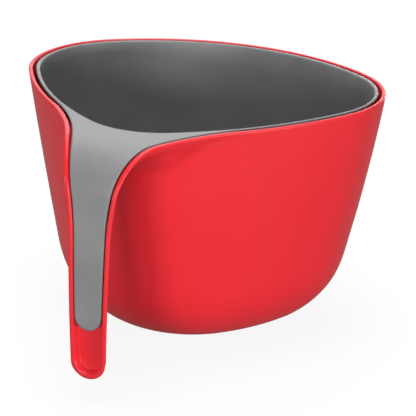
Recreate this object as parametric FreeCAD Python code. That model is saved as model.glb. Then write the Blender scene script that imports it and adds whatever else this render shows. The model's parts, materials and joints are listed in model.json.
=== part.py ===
"""Nested bowl and colander with a shared jug handle.

Millimetres, +Z up, z = 0 on the table, handle towards -Y. Two mouldings nest: the bowl with a
trough handle, and the colander whose strap handle lies in that trough. Three pads carry the bowl.
The shapes are drawn about the middle of the base and moved at the end, so that the origin is under
the middle of the whole object.

Every vessel surface is a loft through the same rounded three-cornered outline, inset by the walls
and gaps between it and the bowl's outside. The handle follows one side profile: level with the
rim, over a bend, and down.
"""
import FreeCAD, Part
import math
import os

V = FreeCAD.Vector

# Rim outline on the bowl's outside, at the top. arc_sizes() says what the four ratios mean.
RIM_HALF_WIDTH = 125.0
RIM_BACK = 106.5
RIM_FRONT = 104.0
RIM_CORNER_SHARE = 0.512
RIM_BACK_FLATNESS = 1.352
RIM_FRONT_SHARE = -0.049
RIM_SIDE_FLATNESS = 2.197

# Base outline on the bowl's outside, before the bottom edge is rounded
BASE_HALF_WIDTH = 90.0
BASE_BACK = 75.0
BASE_FRONT = 75.0
BASE_CORNER_SHARE = 0.6556
BASE_BACK_FLATNESS = 1.933
BASE_FRONT_SHARE = 0.742
BASE_SIDE_FLATNESS = 1.497

# Bowl body
FOOT_STANDS = 1.2
BODY_HEIGHT = 161.2
WALL_BULGE = 0.26
BOTTOM_ROUND = 45.0
BOWL_WALL = 2.8
ROUND_STEPS = 6
LIP_ROUND = 0.9
CUT_ABOVE = 4.0

# Colander
NEST_GAP = 2.2
COLANDER_WALL = 2.5
FLOOR_GAP = 4.0
RING_R_OUT = 27.0
RING_WALL = 3.0

# Drain holes in rings
HOLE_D = 5.0
HOLE_RING_RADII = (0.0, 9.5, 19.0, 36.0, 48.0)
HOLE_RING_COUNTS = (1, 6, 12, 16, 20)

# Handle side profile
BEND_OUT = 10.9
BEND_R = 30.0
BEND_DEG = 83.0
GRIP_R = 900.0
TIP_ABOVE_TABLE = 16.0

# Handle section
GRIP_HALF_TOP = 15.0
GRIP_HALF_TIP = 11.9
JOIN_R = 165.0
GRIP_DEPTH = 7.4
GRIP_DRAFT_DEG = 24.0
GRIP_CHAMFER = 2.6
WEB_REACH = 12.0
WEB_FALL = 2.0
WEB_ROOT = 1.5
WEB_STEPS = 14
TROUGH_DEPTH = 4.6
TROUGH_DRAFT_DEG = 20.0
STRAP_SIDE_GAP = 1.0
STRAP_THICK = 2.5
STRAP_END_ABOVE_TIP = 33.0

# Pads under the bowl
PAD_R = 10.0
PAD_HEIGHT = 2.6
PAD_FIT = 0.05
PAD_PLACES = {"foot_front": (0.0, -28.0), "foot_left": (-31.0, 12.0), "foot_right": (31.0, 12.0)}

# Heights that follow from the above
BODY_BOTTOM = FOOT_STANDS
RIM_Z = FOOT_STANDS + BODY_HEIGHT
BOWL_FLOOR = BODY_BOTTOM + BOWL_WALL
COLANDER_BOTTOM = BOWL_FLOOR + FLOOR_GAP
NEST_INSET = BOWL_WALL + NEST_GAP
LIP_INSET = NEST_INSET + COLANDER_WALL


def arc_sizes(half, back, front, corner_share, back_flatness, front_share, side_flatness):
    """Widths and arc radii of an outline, from ratios that close it at any width.

    The corner radius is a share of the half width, and the back radius a multiple of it. The front
    radius is the corner's plus a share of what is left beside the corner. The side radius is a
    multiple of the tightest arc that reaches from corner to front.
    """
    r_corner = corner_share * half
    r_back = back_flatness * half
    beside = half - r_corner
    r_front = r_corner + front_share * beside
    corner_y = back - r_back + math.sqrt((r_back - r_corner) ** 2 - beside ** 2)
    apart = math.hypot(beside, corner_y - (r_front - front))
    r_side = side_flatness * (apart + r_corner + r_front) / 2
    return half, back, front, r_back, r_corner, r_front, r_side


RIM = arc_sizes(RIM_HALF_WIDTH, RIM_BACK, RIM_FRONT, RIM_CORNER_SHARE, RIM_BACK_FLATNESS,
                RIM_FRONT_SHARE, RIM_SIDE_FLATNESS)
BASE = arc_sizes(BASE_HALF_WIDTH, BASE_BACK, BASE_FRONT, BASE_CORNER_SHARE, BASE_BACK_FLATNESS,
                 BASE_FRONT_SHARE, BASE_SIDE_FLATNESS)


def unit(dx, dy):
    length = math.hypot(dx, dy)
    return dx / length, dy / length


def centres(sizes):
    """Centres of the back, corner, side and front arcs, for the right-hand half."""
    half, back, front, r_back, r_corner, r_front, r_side = sizes
    cb = (0.0, back - r_back)
    xc = half - r_corner
    cc = (xc, cb[1] + math.sqrt((r_back - r_corner) ** 2 - xc * xc))
    cf = (0.0, r_front - front)
    a = r_side - r_corner
    b = r_side - r_front
    dx = cf[0] - cc[0]
    dy = cf[1] - cc[1]
    d = math.hypot(dx, dy)
    along = (a * a - b * b + d * d) / (2 * d)
    across = math.sqrt(a * a - along * along)
    mx = cc[0] + along * dx / d
    my = cc[1] + along * dy / d
    options = [(mx - across * dy / d, my + across * dx / d),
               (mx + across * dy / d, my - across * dx / d)]
    cs = max(options, key=lambda centre: centre[1])
    return cb, cc, cs, cf


def sizes_at(z):
    """Outline sizes at height z: the wall swells a little between rim and base."""
    u = (RIM_Z - z) / BODY_HEIGHT
    w = u - WALL_BULGE * u * (1 - u)
    return tuple(r + (b - r) * w for r, b in zip(RIM, BASE))


def outline(z, inset):
    """Closed wire of six tangent arcs at height z, inset from the bowl's outside."""
    sizes = sizes_at(z)
    half, back, front, r_back, r_corner, r_front, r_side = sizes
    cb, cc, cs, cf = centres(sizes)

    def on(centre, radius, towards):
        return V(centre[0] + (radius - inset) * towards[0],
                 centre[1] + (radius - inset) * towards[1], z)

    def mid(centre, radius, p, q):
        ux, uy = unit((p.x + q.x) / 2 - centre[0], (p.y + q.y) / 2 - centre[1])
        return on(centre, radius, (ux, uy))

    t1 = on(cb, r_back, unit(cc[0] - cb[0], cc[1] - cb[1]))
    t2 = on(cs, r_side, unit(cc[0] - cs[0], cc[1] - cs[1]))
    t3 = on(cs, r_side, unit(cf[0] - cs[0], cf[1] - cs[1]))
    m12 = mid(cc, r_corner, t1, t2)
    m23 = mid(cs, r_side, t2, t3)

    def flip(p):
        return V(-p.x, p.y, p.z)

    arcs = [(flip(t1), V(0, back - inset, z), t1), (t1, m12, t2), (t2, m23, t3),
            (t3, V(0, inset - front, z), flip(t3)), (flip(t3), flip(m23), flip(t2)),
            (flip(t2), flip(m12), flip(t1))]
    return Part.Wire([Part.Arc(*points).toShape() for points in arcs])


def edge_steps(radius):
    """How far a rounded edge draws back at each height below its top: (height, draw-back)."""
    turns = [math.radians(deg) for deg in (0.0, 30.0, 60.0, 90.0)]
    return [(radius * (1 - math.sin(t)), radius * (1 - math.cos(t))) for t in turns]


def vessel(inset, bottom, bottom_round, lip):
    """Solid loft: rounded bottom edge, the wall in even steps, and the rounded lip.

    A positive lip rounds the outer edge of a wall, a negative one opens out the inner edge.
    """
    turn = math.radians(90.0 / ROUND_STEPS)
    top = RIM_Z - abs(lip)
    sections = []
    for k in range(ROUND_STEPS):
        sink = bottom_round * (1 - math.sin(k * turn))
        rise = bottom_round * (1 - math.cos(k * turn))
        sections.append(outline(bottom + rise, inset + sink))
    start = bottom + bottom_round
    steps = max(3, round((top - start) / (bottom_round * turn)))
    for k in range(steps + 1):
        sections.append(outline(start + (top - start) * k / steps, inset))
    body = Part.makeLoft(sections, True, False)
    edge = [outline(RIM_Z - below, inset + math.copysign(back, lip))
            for below, back in edge_steps(abs(lip))]
    if lip < 0:
        edge.append(outline(RIM_Z + CUT_ABOVE, inset + lip))
    return body.fuse(Part.makeLoft(edge, True, True))


class Profile:
    """Side profile of the handle's face: level, bend, grip. s runs outwards along it."""

    def __init__(self):
        self.bend_y = RIM_FRONT + BEND_OUT
        self.bend_angle = math.radians(BEND_DEG)
        self.s_bend = self.bend_y
        self.s_grip = self.s_bend + BEND_R * self.bend_angle
        bulge = GRIP_R * (1 - math.sin(self.bend_angle))
        self.outermost = self.bend_y + BEND_R * math.sin(self.bend_angle) + bulge

    def at(self, s):
        """Point (y, z) on the face and the outward normal (y, z)."""
        if s <= self.s_bend:
            return (-s, RIM_Z), (0.0, 1.0)
        a = min((s - self.s_bend) / BEND_R, self.bend_angle)
        n = (-math.sin(a), math.cos(a))
        y = -self.bend_y + BEND_R * n[0]
        z = RIM_Z - BEND_R + BEND_R * n[1]
        if s > self.s_grip:
            b = self.bend_angle + (s - self.s_grip) / GRIP_R
            m = (-math.sin(b), math.cos(b))
            return (y + GRIP_R * (m[0] - n[0]), z + GRIP_R * (m[1] - n[1])), m
        return (y, z), n

    def s_at_height(self, z):
        (y, top), n = self.at(self.s_grip)
        b = math.acos((z - top) / GRIP_R + n[1])
        return self.s_grip + GRIP_R * (b - self.bend_angle)

    def under(self, low):
        """Everything on the inner side of the face, down to height low, as a block."""
        def p(s):
            (y, z), n = self.at(s)
            return V(0, y, z)
        end = self.s_at_height(low)
        start = V(0, 0, RIM_Z)
        edges = [Part.makeLine(start, p(self.s_bend)),
                 Part.Arc(p(self.s_bend), p((self.s_bend + self.s_grip) / 2),
                          p(self.s_grip)).toShape(),
                 Part.Arc(p(self.s_grip), p((self.s_grip + end) / 2), p(end)).toShape(),
                 Part.makeLine(p(end), V(0, 0, p(end).z)),
                 Part.makeLine(V(0, 0, p(end).z), start)]
        face = Part.Face(Part.Wire(edges))
        face.translate(V(-RIM_HALF_WIDTH, 0, 0))
        return face.extrude(V(2 * RIM_HALF_WIDTH, 0, 0))


PROFILE = Profile()
S_TIP = PROFILE.s_at_height(TIP_ABOVE_TABLE)


def strip_width(inset, narrower):
    """Half-width of a handle strip along s, joined to the rim outline by a concave arc."""
    half, back, front, r_back, r_corner, r_front, r_side = RIM
    cb, cc, cs, cf = centres(RIM)
    root = (GRIP_HALF_TOP - narrower, PROFILE.s_grip)
    tip = (GRIP_HALF_TIP - narrower, S_TIP)
    ux, us = unit(tip[0] - root[0], tip[1] - root[1])
    radius = JOIN_R + narrower
    base = (root[0] + us * radius, root[1] - ux * radius)

    def tangent(centre, r):
        """Arc centre that touches the strip's edge and the rim arc, and the touching point."""
        px = base[0] - centre[0]
        ps = base[1] + centre[1]
        k = px * ux + ps * us
        t = -k - math.sqrt(k * k - (px * px + ps * ps) + (r - inset + radius) ** 2)
        options = []
        for t in (t, -2 * k - t):
            c = (base[0] + t * ux, base[1] + t * us)
            dx, ds = unit(c[0] - centre[0], c[1] + centre[1])
            touch = (centre[0] + (r - inset) * dx, -centre[1] + (r - inset) * ds)
            options.append((c, touch))
        return max(options, key=lambda o: o[0][1])

    c, touch = tangent(cs, r_side)
    limit = -(cs[1] + (r_side - inset) * unit(cf[0] - cs[0], cf[1] - cs[1])[1])
    if touch[1] > limit:
        c, touch = tangent(cf, r_front)
    s_line = c[1] + radius * ux

    def width(s):
        if s < s_line:
            return c[0] - math.sqrt(radius * radius - (s - c[1]) ** 2)
        return root[0] + (s - root[1]) * ux / us

    return width, touch[1]


def skin(sections):
    """Solid from matching sections: each corner becomes a curve, each pair of curves a surface."""
    count = len(sections[0])
    places = [float(i) for i in range(len(sections))]
    edges = []
    for k in range(count):
        curve = Part.BSplineCurve()
        curve.interpolate(Points=[section[k] for section in sections], Parameters=places)
        edges.append(curve.toShape())
    faces = [Part.makeRuledSurface(edges[k], edges[(k + 1) % count]) for k in range(count)]
    for section in (sections[0], sections[-1]):
        faces.append(Part.Face(Part.makePolygon(section + [section[0]])))
    shell = Part.Compound(faces)
    shell.sewShape()
    solid = Part.Solid(shell.Shells[0] if shell.ShapeType != "Shell" else shell)
    if solid.Volume < 0:
        solid.reverse()
    return solid


def strip(inset, narrower, levels, end):
    """Handle piece along the profile, from the rim outline out to s = end.

    levels lists (height above the face, how far in from the edge) down one side of the section.
    """
    width, start = strip_width(inset, narrower)
    bend = PROFILE.s_grip - PROFILE.s_bend
    stations = [start + (PROFILE.s_bend - start) * k / 8 for k in range(8)]
    stations += [PROFILE.s_bend + bend * k / 10 for k in range(10)]
    stations += [PROFILE.s_grip + (end - PROFILE.s_grip) * k / 6 for k in range(7)]
    sections = []
    for s in stations:
        (y, z), n = PROFILE.at(s)
        w = width(s)
        right = [V(w - shift, y + up * n[0], z + up * n[1]) for up, shift in levels]
        left = [V(-p.x, p.y, p.z) for p in reversed(right)]
        sections.append(right + left)
    return skin(sections)


def square_corners(half, centre_z, slope):
    """What to remove from a strip's lower end to leave it half-round, drafted like its sides."""
    (face_y, z), n = PROFILE.at(PROFILE.s_at_height(centre_z))
    above = 6.0
    deep = 16.0
    cone = Part.makeCone(half + above * slope, half - deep * slope, above + deep,
                         V(0, face_y - above, centre_z), V(0, 1, 0))
    size = half + above
    block = Part.makeBox(2 * size, above + deep, size, V(-size, face_y - above, centre_z - size))
    return block.cut(cone)


def rim_front(count):
    """Points on the rim outline from the handle's join round to the front, with normals (x, s)."""
    half, back, front, r_back, r_corner, r_front, r_side = RIM
    cb, cc, cs, cf = centres(RIM)
    width, start = strip_width(0.0, 0.0)
    first = math.asin((start + cs[1]) / r_side)
    change = math.atan2(cs[1] - cf[1], cf[0] - cs[0])
    side = r_side * (change - first)
    whole = side + r_front * (math.pi / 2 - change)
    found = []
    for k in range(count + 1):
        run = whole * k / count
        if run <= side:
            angle = first + run / r_side
            centre, radius = cs, r_side
        else:
            angle = change + (run - side) / r_front
            centre, radius = cf, r_front
        nx, ns = math.cos(angle), math.sin(angle)
        found.append((centre[0] + radius * nx, -centre[1] + radius * ns, nx, ns))
    return found


def make_web():
    """Concave flare that carries the wall out to the underside and edge of the handle."""
    width, start = strip_width(0.0, 0.0)
    drafts = math.tan(math.radians(GRIP_DRAFT_DEG))
    lean = (RIM_FRONT - BASE_FRONT) / BODY_HEIGHT
    top = 2 * LIP_ROUND
    sections = []
    for x, s, nx, ns in rim_front(WEB_STEPS):
        free = 0.0
        while free < 2 * WEB_REACH and x + free * nx < width(s + free * ns):
            free += 0.02
        reach = min(free, WEB_REACH)
        edge = min(top + 0.4 + free - reach, GRIP_DEPTH - 0.4)
        out = max(reach - edge * drafts, 0.05)
        fall = WEB_FALL * out + 0.5
        flat = [(-WEB_ROOT, top), (max(out - 0.3, 0.03), top), (out, edge)]
        for k in (0.25, 0.5, 0.75, 1.0):
            t = k * math.pi / 2
            depth = edge + fall * (1 - math.cos(t) + k) / 2
            flat.append((out * (1 - (math.sin(t) + k) / 2) - lean * depth * k, depth))
        flat.append((flat[-1][0] - WEB_ROOT, flat[-1][1]))
        sections.append([V(x + o * nx, -(s + o * ns), RIM_Z - d) for o, d in flat])
    mirrored = [[V(-p.x, p.y, p.z) for p in section] for section in reversed(sections[:-1])]
    return skin(sections + mirrored)


def end_round(width, end_z):
    """Half-width and centre height of a strip's half-round end, tangent to its sides."""
    half = width(PROFILE.s_at_height(end_z))
    for step in range(8):
        half = width(PROFILE.s_at_height(end_z + half))
    return half, end_z + half


def make_grip():
    """Outside of the bowl's handle, up to the profile's face."""
    slope = math.tan(math.radians(GRIP_DRAFT_DEG))
    side = GRIP_DEPTH - GRIP_CHAMFER
    levels = [(CUT_ABOVE, LIP_ROUND)]
    levels += [(-below, back) for below, back in reversed(edge_steps(LIP_ROUND))]
    levels += [(-side, side * slope), (-GRIP_DEPTH, side * slope + GRIP_CHAMFER)]
    width, start = strip_width(0.0, 0.0)
    half, centre = end_round(width, TIP_ABOVE_TABLE)
    grip = strip(0.0, 0.0, levels, S_TIP).common(PROFILE.under(TIP_ABOVE_TABLE))
    return grip.cut(square_corners(half, centre, slope))


def make_trough():
    """Space the colander's strap lies in, open to the bowl's inside."""
    slope = math.tan(math.radians(TROUGH_DRAFT_DEG))
    levels = [(CUT_ABOVE, -CUT_ABOVE * slope), (-TROUGH_DEPTH, TROUGH_DEPTH * slope)]
    width, start = strip_width(BOWL_WALL, BOWL_WALL)
    half, centre = end_round(width, TIP_ABOVE_TABLE + BOWL_WALL)
    trough = strip(BOWL_WALL, BOWL_WALL, levels, S_TIP - BOWL_WALL)
    return trough.cut(square_corners(half, centre, slope))


def make_strap():
    """Colander's strap handle, with a half-round end."""
    slope = math.tan(math.radians(TROUGH_DRAFT_DEG))
    narrower = BOWL_WALL + STRAP_SIDE_GAP
    end_z = TIP_ABOVE_TABLE + STRAP_END_ABOVE_TIP
    width, start = strip_width(NEST_INSET, narrower)
    half, centre = end_round(width, end_z)
    levels = [(CUT_ABOVE, LIP_ROUND)]
    levels += [(-below, back) for below, back in reversed(edge_steps(LIP_ROUND))]
    levels += [(-STRAP_THICK, STRAP_THICK * slope)]
    strap = strip(NEST_INSET, narrower, levels, PROFILE.s_at_height(end_z))
    strap = strap.common(PROFILE.under(TIP_ABOVE_TABLE))
    return strap.cut(square_corners(half, centre, slope))


def make_bowl():
    outside = vessel(0.0, BODY_BOTTOM, BOTTOM_ROUND, LIP_ROUND).fuse(make_grip())
    outside = outside.fuse(make_web())
    inside = vessel(BOWL_WALL, BOWL_FLOOR, BOTTOM_ROUND - BOWL_WALL, -LIP_ROUND)
    bowl = outside.cut(inside).cut(make_trough())
    for x, y in PAD_PLACES.values():
        bowl = bowl.cut(Part.makeCylinder(PAD_R + PAD_FIT, PAD_HEIGHT, V(x, y, 0)))
    return bowl


def make_colander():
    outside = vessel(NEST_INSET, COLANDER_BOTTOM, BOTTOM_ROUND - NEST_INSET, LIP_ROUND)
    inside = vessel(LIP_INSET, COLANDER_BOTTOM + COLANDER_WALL, BOTTOM_ROUND - LIP_INSET,
                    -LIP_ROUND)
    colander = outside.fuse(make_strap()).cut(inside)
    ring_height = FLOOR_GAP + COLANDER_WALL / 2
    ring = Part.makeCylinder(RING_R_OUT, ring_height, V(0, 0, BOWL_FLOOR))
    ring = ring.cut(Part.makeCylinder(RING_R_OUT - RING_WALL, ring_height, V(0, 0, BOWL_FLOOR)))
    holes = []
    for radius, count in zip(HOLE_RING_RADII, HOLE_RING_COUNTS):
        for k in range(count):
            angle = 2 * math.pi * k / count
            holes.append(Part.makeCylinder(HOLE_D / 2, 3 * BOTTOM_ROUND / 2,
                                           V(radius * math.cos(angle), radius * math.sin(angle),
                                             BOWL_FLOOR)))
    return colander.fuse(ring).cut(Part.Compound(holes))


def main():
    os.makedirs("parts", exist_ok=True)
    nodes = {"outer_bowl": make_bowl(), "colander": make_colander()}
    for name, (x, y) in PAD_PLACES.items():
        nodes[name] = Part.makeCylinder(PAD_R, PAD_HEIGHT, V(x, y, 0))
    middle = V(0, (PROFILE.outermost - RIM_BACK) / 2, 0)
    for name, shape in nodes.items():
        if len(shape.Solids) == 1:
            shape = shape.Solids[0]
        shape.translate(middle)
        print(name, shape.isValid(), len(shape.Solids), len(shape.Faces), round(shape.Volume))
        shape.exportStep("parts/" + name + ".step")


main()
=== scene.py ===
# %% [markdown]
# # A bowl and colander in red and grey plastic
# The set is two thin mouldings, one nested in the other, so almost everything the eye reads is
# plastic: a clear red with a satin shine, and a quiet grey with a finer, duller surface. The walls
# could be modelled again as meshes, but the solids already have the right shape, so this lesson
# keeps them and spends its effort on the finish of each surface, the light and the view.

# %% Load the solids
import bpy
import json
import math
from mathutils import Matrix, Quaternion, Vector


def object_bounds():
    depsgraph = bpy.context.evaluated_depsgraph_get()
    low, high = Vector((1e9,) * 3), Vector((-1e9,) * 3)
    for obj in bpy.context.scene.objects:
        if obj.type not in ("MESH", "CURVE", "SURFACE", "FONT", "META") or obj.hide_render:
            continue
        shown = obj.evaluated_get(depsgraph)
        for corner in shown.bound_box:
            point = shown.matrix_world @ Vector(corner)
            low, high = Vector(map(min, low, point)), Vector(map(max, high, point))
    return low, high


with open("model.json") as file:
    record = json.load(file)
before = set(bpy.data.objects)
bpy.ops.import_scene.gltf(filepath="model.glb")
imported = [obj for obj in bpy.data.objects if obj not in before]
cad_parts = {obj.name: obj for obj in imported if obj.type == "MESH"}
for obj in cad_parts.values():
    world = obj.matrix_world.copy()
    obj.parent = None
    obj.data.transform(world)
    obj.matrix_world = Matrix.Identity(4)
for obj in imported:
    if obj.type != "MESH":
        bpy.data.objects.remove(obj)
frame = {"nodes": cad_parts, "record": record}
solid_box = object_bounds()
print("solids:", sorted(frame["nodes"]), "box", [[round(c, 4) for c in p] for p in solid_box])

# %% [markdown]
# Colours are written as sRGB hex, the way a paint card or a picture editor gives them. Shaders work
# in linear light, so one function turns each hex value into linear numbers. Patterns are written
# in millimetres: a texture scale is cycles per metre, so a pattern that repeats every p mm has a
# scale of 1000 / p.
#
# A material is a tree of nodes. One small function adds a node, sets its properties, and fills or
# links its sockets. A socket goes by its name where that is unique, and by its number where it
# isn't: a Mix node has a pair of inputs for each type of data, and its colours are 6 and 7.

# %% Colour, pattern and node helpers
MIX_COLOUR_A = 6
MIX_COLOUR_B = 7
MIX_COLOUR_OUT = 2


def linear(hex_colour):
    channels = [int(hex_colour[i:i + 2], 16) / 255 for i in (1, 3, 5)]
    toned = [c / 12.92 if c <= 0.04045 else ((c + 0.055) / 1.055) ** 2.4 for c in channels]
    return (*toned, 1.0)


def per_metre(millimetres):
    return 1000.0 / millimetres


def node(tree, kind, settings=None, inputs=None):
    """Adds a node; settings are its properties, inputs its sockets (a value or a socket to link)."""
    made = tree.nodes.new(kind)
    for name, value in (settings or {}).items():
        setattr(made, name, value)
    for name, value in (inputs or {}).items():
        if isinstance(value, bpy.types.NodeSocket):
            tree.links.new(value, made.inputs[name])
        else:
            made.inputs[name].default_value = value
    return made


def new_material(name):
    material = bpy.data.materials.new(name)
    material.use_nodes = True
    material.node_tree.nodes.clear()
    return material, material.node_tree


print("a mid grey in linear light:", [round(c, 3) for c in linear("#808080")])

# %% [markdown]
# The bowl is injection-moulded polypropylene, coloured right through. A polished mould gives it a
# satin skin: a broad soft shine, with a slow unevenness where the plastic cooled at different
# rates, and a very fine grain. One colour with one roughness would look like painted card, so a
# slow noise shifts the colour, the shine and the surface together, as the flow of the plastic does.
# The grain of a real moulding is about 0.1 mm, too fine to show here, so it is drawn at 0.6 mm.
#
# A moulding has no sharp corners. The Bevel node blends the shading across an edge and leaves the
# mesh alone: a small radius eases the lips, and a wide one the place where the wall flares out into
# the handle. The wide radius fades away towards the rim, the grip and the rest of the wall, because
# on a thin wall it would also pick up the other side.

# %% Red polypropylene, moulded satin
RED_FLOW_MM = 60
RED_GRAIN_MM = 0.6
# Noise seldom leaves this span, so it is stretched from here to the full range.
NOISE_LOW = 0.3
NOISE_HIGH = 0.7
EASED_LIP = 0.0018
EASED_FLARE = 0.009
RIM_Z = solid_box[1][2]
FADES_BELOW_RIM = (0.007, 0.001)
FADES_AT_GRIP_Y = (-0.106, -0.097)
FADES_AT_WALL_Y = (-0.060, -0.040)


def red_polypropylene():
    material, tree = new_material("red_polypropylene_moulded_satin")
    place = node(tree, "ShaderNodeTexCoord").outputs["Object"]
    flow = node(tree, "ShaderNodeTexNoise", None,
                {"Vector": place, "Scale": per_metre(RED_FLOW_MM), "Detail": 3.0, "Roughness": 0.5})
    grain = node(tree, "ShaderNodeTexNoise", None,
                 {"Vector": place, "Scale": per_metre(RED_GRAIN_MM), "Detail": 2.0,
                  "Roughness": 0.6})
    colour = node(tree, "ShaderNodeMix", {"data_type": "RGBA"},
                  {"Factor": flow.outputs["Fac"], MIX_COLOUR_A: linear("#E0252F"),
                   MIX_COLOUR_B: linear("#E72D37")})
    shine = node(tree, "ShaderNodeMapRange", None,
                 {"Value": flow.outputs["Fac"], "From Min": NOISE_LOW, "From Max": NOISE_HIGH,
                  "To Min": 0.33, "To Max": 0.39})
    along = node(tree, "ShaderNodeSeparateXYZ", None, {"Vector": place})
    below_lip = node(tree, "ShaderNodeMapRange", {"interpolation_type": "SMOOTHSTEP"},
                     {"Value": along.outputs["Z"], "From Min": RIM_Z - FADES_BELOW_RIM[0],
                      "From Max": RIM_Z - FADES_BELOW_RIM[1], "To Min": EASED_FLARE,
                      "To Max": EASED_LIP})
    behind_grip = node(tree, "ShaderNodeMapRange", {"interpolation_type": "SMOOTHSTEP"},
                       {"Value": along.outputs["Y"], "From Min": FADES_AT_GRIP_Y[0],
                        "From Max": FADES_AT_GRIP_Y[1], "To Min": EASED_LIP,
                        "To Max": below_lip.outputs["Result"]})
    by_handle = node(tree, "ShaderNodeMapRange", {"interpolation_type": "SMOOTHSTEP"},
                     {"Value": along.outputs["Y"], "From Min": FADES_AT_WALL_Y[0],
                      "From Max": FADES_AT_WALL_Y[1], "To Min": behind_grip.outputs["Result"],
                      "To Max": EASED_LIP})
    eased = node(tree, "ShaderNodeBevel", {"samples": 16}, {"Radius": by_handle.outputs["Result"]})
    waves = node(tree, "ShaderNodeBump", None,
                 {"Height": flow.outputs["Fac"], "Strength": 0.1, "Distance": 0.0004,
                  "Normal": eased.outputs["Normal"]})
    skin = node(tree, "ShaderNodeBump", None,
                {"Height": grain.outputs["Fac"], "Strength": 0.08, "Distance": 0.00005,
                 "Normal": waves.outputs["Normal"]})
    shader = node(tree, "ShaderNodeBsdfPrincipled", None,
                  {"Base Color": colour.outputs[MIX_COLOUR_OUT],
                   "Roughness": shine.outputs["Result"], "IOR": 1.49, "Specular IOR Level": 0.35,
                   "Normal": skin.outputs["Normal"]})
    node(tree, "ShaderNodeOutputMaterial", None, {"Surface": shader.outputs["BSDF"]})
    return material


RED = red_polypropylene()
print("material:", RED.name, len(RED.node_tree.nodes), "nodes")

# %% [markdown]
# The colander is the same plastic in grey, from a mould with a fine spark-eroded texture. That
# scatters the light more, so its shine is wide and weak, and the colour looks flatter, with faint
# clouds a few centimetres across. The texture is about 0.15 mm on the real piece and is drawn at
# 0.8 mm so that it shows. A drawn picture could carry it, but noise needs no file and no unwrapping.

# %% Grey polypropylene, moulded matt
GREY_CLOUD_MM = 30
GREY_TEXTURE_MM = 0.8


def grey_polypropylene():
    material, tree = new_material("grey_polypropylene_moulded_matt")
    place = node(tree, "ShaderNodeTexCoord").outputs["Object"]
    flow = node(tree, "ShaderNodeTexNoise", None,
                {"Vector": place, "Scale": per_metre(GREY_CLOUD_MM), "Detail": 3.0,
                 "Roughness": 0.55})
    texture = node(tree, "ShaderNodeTexNoise", None,
                   {"Vector": place, "Scale": per_metre(GREY_TEXTURE_MM), "Detail": 2.0,
                    "Roughness": 0.6})
    clouds = node(tree, "ShaderNodeMapRange", None,
                  {"Value": flow.outputs["Fac"], "From Min": NOISE_LOW, "From Max": NOISE_HIGH})
    colour = node(tree, "ShaderNodeMix", {"data_type": "RGBA"},
                  {"Factor": clouds.outputs["Result"], MIX_COLOUR_A: linear("#7C7C7D"),
                   MIX_COLOUR_B: linear("#858586")})
    shine = node(tree, "ShaderNodeMapRange", None,
                 {"Value": flow.outputs["Fac"], "From Min": NOISE_LOW, "From Max": NOISE_HIGH,
                  "To Min": 0.34, "To Max": 0.44})
    eased = node(tree, "ShaderNodeBevel", {"samples": 6}, {"Radius": EASED_LIP})
    waves = node(tree, "ShaderNodeBump", None,
                 {"Height": flow.outputs["Fac"], "Strength": 0.25, "Distance": 0.0004,
                  "Normal": eased.outputs["Normal"]})
    skin = node(tree, "ShaderNodeBump", None,
                {"Height": texture.outputs["Fac"], "Strength": 0.12, "Distance": 0.00006,
                 "Normal": waves.outputs["Normal"]})
    shader = node(tree, "ShaderNodeBsdfPrincipled", None,
                  {"Base Color": colour.outputs[MIX_COLOUR_OUT],
                   "Roughness": shine.outputs["Result"], "IOR": 1.49,
                   "Normal": skin.outputs["Normal"]})
    node(tree, "ShaderNodeOutputMaterial", None, {"Surface": shader.outputs["BSDF"]})
    return material


GREY = grey_polypropylene()
print("material:", GREY.name, len(GREY.node_tree.nodes), "nodes")

# %% [markdown]
# The pads are soft thermoplastic rubber pressed into the underside. Rubber is nearly black, has
# almost no shine, and picks up dust, which shows as paler specks about 2 mm across. The pads hardly
# show, so one noise is enough for both the colour and the surface.

# %% Dark rubber, moulded
DUST_MM = 2


def dark_rubber():
    material, tree = new_material("thermoplastic_rubber_moulded")
    place = node(tree, "ShaderNodeTexCoord").outputs["Object"]
    dust = node(tree, "ShaderNodeTexNoise", None,
                {"Vector": place, "Scale": per_metre(DUST_MM), "Detail": 4.0, "Roughness": 0.6})
    colour = node(tree, "ShaderNodeMix", {"data_type": "RGBA"},
                  {"Factor": dust.outputs["Fac"], MIX_COLOUR_A: linear("#2A2A2B"),
                   MIX_COLOUR_B: linear("#3A3A3A")})
    skin = node(tree, "ShaderNodeBump", None,
                {"Height": dust.outputs["Fac"], "Strength": 0.2, "Distance": 0.0001})
    shader = node(tree, "ShaderNodeBsdfPrincipled", None,
                  {"Base Color": colour.outputs[MIX_COLOUR_OUT], "Roughness": 0.85, "IOR": 1.5,
                   "Normal": skin.outputs["Normal"]})
    node(tree, "ShaderNodeOutputMaterial", None, {"Surface": shader.outputs["BSDF"]})
    return material


RUBBER = dark_rubber()
print("material:", RUBBER.name, len(RUBBER.node_tree.nodes), "nodes")

# %% [markdown]
# Each solid keeps its mesh and only changes what it is made of. The materials could go on piece by
# piece, but the record says which finish every piece has, so they go on by that name.

# %% Dress the solids
FINISHES = {"red_plastic": RED, "grey_plastic": GREY, "pad_rubber": RUBBER}
for piece in frame["record"]["subparts"]:
    mesh = frame["nodes"][piece["node"]].data
    mesh.materials.clear()
    mesh.materials.append(FINISHES[piece["material_slot"]])
    print(piece["node"], "->", mesh.materials[0].name, len(mesh.polygons), "faces")

# %% [markdown]
# A catalogue picture has no horizon: the set stands on paper that stays white all the way up. More
# light would make it white too, but would bleach the plastic, so the paper shows the camera mostly
# a white of its own, and keeps enough of the lit surface for the soft shadow under the bowl. In
# reflections it shows only a small share of that white, and light bounces off it as off a greyer
# sheet, because a floor of full white washes out a satin red from below.

# %% White paper
PAPER_SHOWS_WHITE = 0.9
PAPER_REFLECTS_WHITE = 0.15


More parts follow.
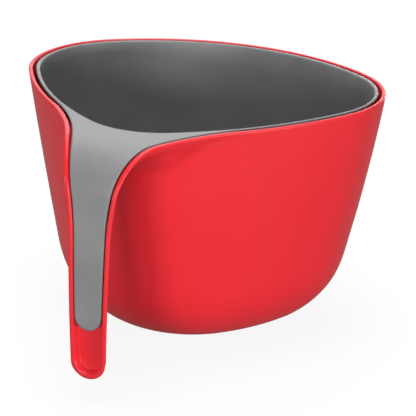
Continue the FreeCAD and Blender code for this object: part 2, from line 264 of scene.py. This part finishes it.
def white_paper():
    material, tree = new_material("studio_paper_white_uncoated")
    ray = node(tree, "ShaderNodeLightPath")
    direct = node(tree, "ShaderNodeMath", {"operation": "MAXIMUM"},
                  {0: ray.outputs["Is Camera Ray"], 1: ray.outputs["Is Transmission Ray"]})
    shown = node(tree, "ShaderNodeMath", {"operation": "MULTIPLY"},
                 {0: direct.outputs[0], 1: PAPER_SHOWS_WHITE})
    mirrored = node(tree, "ShaderNodeMath", {"operation": "MULTIPLY"},
                    {0: ray.outputs["Is Glossy Ray"], 1: PAPER_REFLECTS_WHITE})
    share = node(tree, "ShaderNodeMath", {"operation": "MAXIMUM"},
                 {0: shown.outputs[0], 1: mirrored.outputs[0]})
    tone = node(tree, "ShaderNodeMix", {"data_type": "RGBA"},
                {"Factor": direct.outputs[0], MIX_COLOUR_A: linear("#6A6A6A"),
                 MIX_COLOUR_B: linear("#FFFFFF")})
    lit = node(tree, "ShaderNodeBsdfDiffuse", None, {"Color": tone.outputs[MIX_COLOUR_OUT]})
    white = node(tree, "ShaderNodeEmission", None, {"Color": linear("#FFFFFF"), "Strength": 1.0})
    both = node(tree, "ShaderNodeMixShader", None,
                {"Fac": share.outputs[0], 1: lit.outputs["BSDF"], 2: white.outputs["Emission"]})
    node(tree, "ShaderNodeOutputMaterial", None, {"Surface": both.outputs["Shader"]})
    return material


PAPER = white_paper()
print("material:", PAPER.name, len(PAPER.node_tree.nodes), "nodes")

# %% [markdown]
# In a studio the paper hangs from a roll and lies forward over the table, so floor and wall are one
# sheet with a wide bend. A plane and a wall would show the corner between them. The sheet is drawn
# as one side profile, and each step of that profile becomes a strip across the full width.

# %% Paper sweep
PAPER_HALF = 4.0
PAPER_BEND_AT = 2.2
PAPER_BEND_R = 0.8
PAPER_BEND_STEPS = 8
PAPER_TOP = 3.0

profile = [(-PAPER_HALF, 0.0), (PAPER_BEND_AT, 0.0)]
for step in range(1, PAPER_BEND_STEPS + 1):
    turn = math.radians(90 * step / PAPER_BEND_STEPS)
    profile.append((PAPER_BEND_AT + PAPER_BEND_R * math.sin(turn),
                    PAPER_BEND_R * (1 - math.cos(turn))))
profile.append((PAPER_BEND_AT + PAPER_BEND_R, PAPER_TOP))
corners = [(x, y, z) for y, z in profile for x in (-PAPER_HALF, PAPER_HALF)]
strips = [(2 * i, 2 * i + 1, 2 * i + 3, 2 * i + 2) for i in range(len(profile) - 1)]

paper_mesh = bpy.data.meshes.new("paper_sweep")
paper_mesh.from_pydata(corners, [], strips)
paper_mesh.polygons.foreach_set("use_smooth", [True] * len(strips))
paper_mesh.materials.append(PAPER)
paper = bpy.data.objects.new("paper_sweep", paper_mesh)
bpy.context.scene.collection.objects.link(paper)
print("paper:", 2 * PAPER_HALF, "m wide,", len(strips), "strips")

# %% [markdown]
# Soft studio light comes from panels: the larger a panel looks from the object, the softer its
# shadows and the broader its reflections. One large panel would be simpler, but would leave the
# round wall flat. Each lamp is placed by the angle it shines from, all at one distance. Azimuth 0 is
# straight in front of the handle, and grows to the right. Two low lamps in front throw the handle's
# shadow on the wall behind it and light only the upper part of the colander's far side. Low strips
# on the right, on the left and behind light the wall all round. Panels overhead and behind shine
# along the level top and the bend of the handle, which is what makes them paler.

# %% Soft studio light
LAMP_DISTANCE = 1.8
MIDDLE = Vector((0.0, 0.0, 0.08))


def panel(name, azimuth_deg, elevation_deg, width, height, watts):
    azimuth = math.radians(azimuth_deg)
    elevation = math.radians(elevation_deg)
    towards = Vector((math.sin(azimuth) * math.cos(elevation),
                      -math.cos(azimuth) * math.cos(elevation), math.sin(elevation)))
    lamp = bpy.data.lights.new(name, "AREA")
    lamp.shape = "RECTANGLE"
    lamp.size = width
    lamp.size_y = height
    lamp.energy = watts
    made = bpy.data.objects.new(name, lamp)
    made.location = MIDDLE + LAMP_DISTANCE * towards
    made.rotation_mode = "QUATERNION"
    made.rotation_quaternion = towards.to_track_quat("Z", "Y")
    made.visible_camera = False
    bpy.context.scene.collection.objects.link(made)
    print("lamp:", name, watts, "W,", width, "by", height, "m")


# name, azimuth and elevation in degrees, width and height in metres, watts
panel("front_strip", -5, 4, 0.4, 0.2, 10.4)
panel("front_panel", 12, 11, 0.35, 0.25, 6.4)
panel("right_strip", 66, 1.5, 0.8, 0.2, 20.0)
panel("left_strip", -70, 1, 0.7, 0.2, 5.5)
panel("back_strip", 180, 3, 1.2, 0.3, 12.0)
panel("back_panel", -150, 28, 1.5, 1.2, 8.6)
panel("high_back_panel", -150, 60, 1.0, 1.0, 8.6)
panel("overhead_panel", 0, 88, 0.9, 0.9, 24.0)

# %% [markdown]
# Past the paper lies the room. It adds a little even light to the set, and to the camera it is as
# white as the paper, so a low view from any side keeps the same plain background. A room that lit
# the set with all that white would leave no shading, so the two levels are kept apart.

# %% Pale room
ROOM_LIGHT = 0.08
ROOM_SHOWS_WHITE = 1.0

room = bpy.data.worlds.new("pale_room")
room.use_nodes = True
room.node_tree.nodes.clear()
room_ray = node(room.node_tree, "ShaderNodeLightPath")
seen = node(room.node_tree, "ShaderNodeMath", {"operation": "MAXIMUM"},
            {0: room_ray.outputs["Is Camera Ray"], 1: room_ray.outputs["Is Transmission Ray"]})
level = node(room.node_tree, "ShaderNodeMapRange", None,
             {"Value": seen.outputs[0], "To Min": ROOM_LIGHT, "To Max": ROOM_SHOWS_WHITE})
glow = node(room.node_tree, "ShaderNodeBackground", None,
            {"Color": linear("#FFFFFF"), "Strength": level.outputs["Result"]})
node(room.node_tree, "ShaderNodeOutputWorld", None, {"Surface": glow.outputs["Background"]})
bpy.context.scene.world = room
print("room:", room.name, "lights at", ROOM_LIGHT, "and shows", ROOM_SHOWS_WHITE)

# %% [markdown]
# The view is set from what the picture shows: a long lens a little over a metre away, above the
# rim and to the right of the handle, tilted by half a degree. A camera could be aimed by trial, but
# the rim, the body and the handle together fix where it stood. It looks along its own -Z, so the
# direction is turned into a rotation first and the tilt is added about that axis.

# %% Camera
CAMERA_AT = Vector((0.49607, -1.07546, 0.55119))
CAMERA_LOOKS = Vector((-0.374181, 0.851751, -0.366755))
CAMERA_TILT_DEG = 0.58
LENS_MM = 165.6
SENSOR_MM = 36.0

lens = bpy.data.cameras.new("catalogue_camera")
lens.lens = LENS_MM
lens.sensor_width = SENSOR_MM
camera = bpy.data.objects.new("catalogue_camera", lens)
camera.location = CAMERA_AT
camera.rotation_mode = "QUATERNION"
tilt = Quaternion((0, 0, 1), math.radians(CAMERA_TILT_DEG))
camera.rotation_quaternion = CAMERA_LOOKS.to_track_quat("-Z", "Y") @ tilt
bpy.context.scene.collection.objects.link(camera)
bpy.context.scene.camera = camera
bpy.context.scene.view_settings.view_transform = "Standard"
print("camera:", round(CAMERA_AT.length, 3), "m from the origin, lens", LENS_MM, "mm")
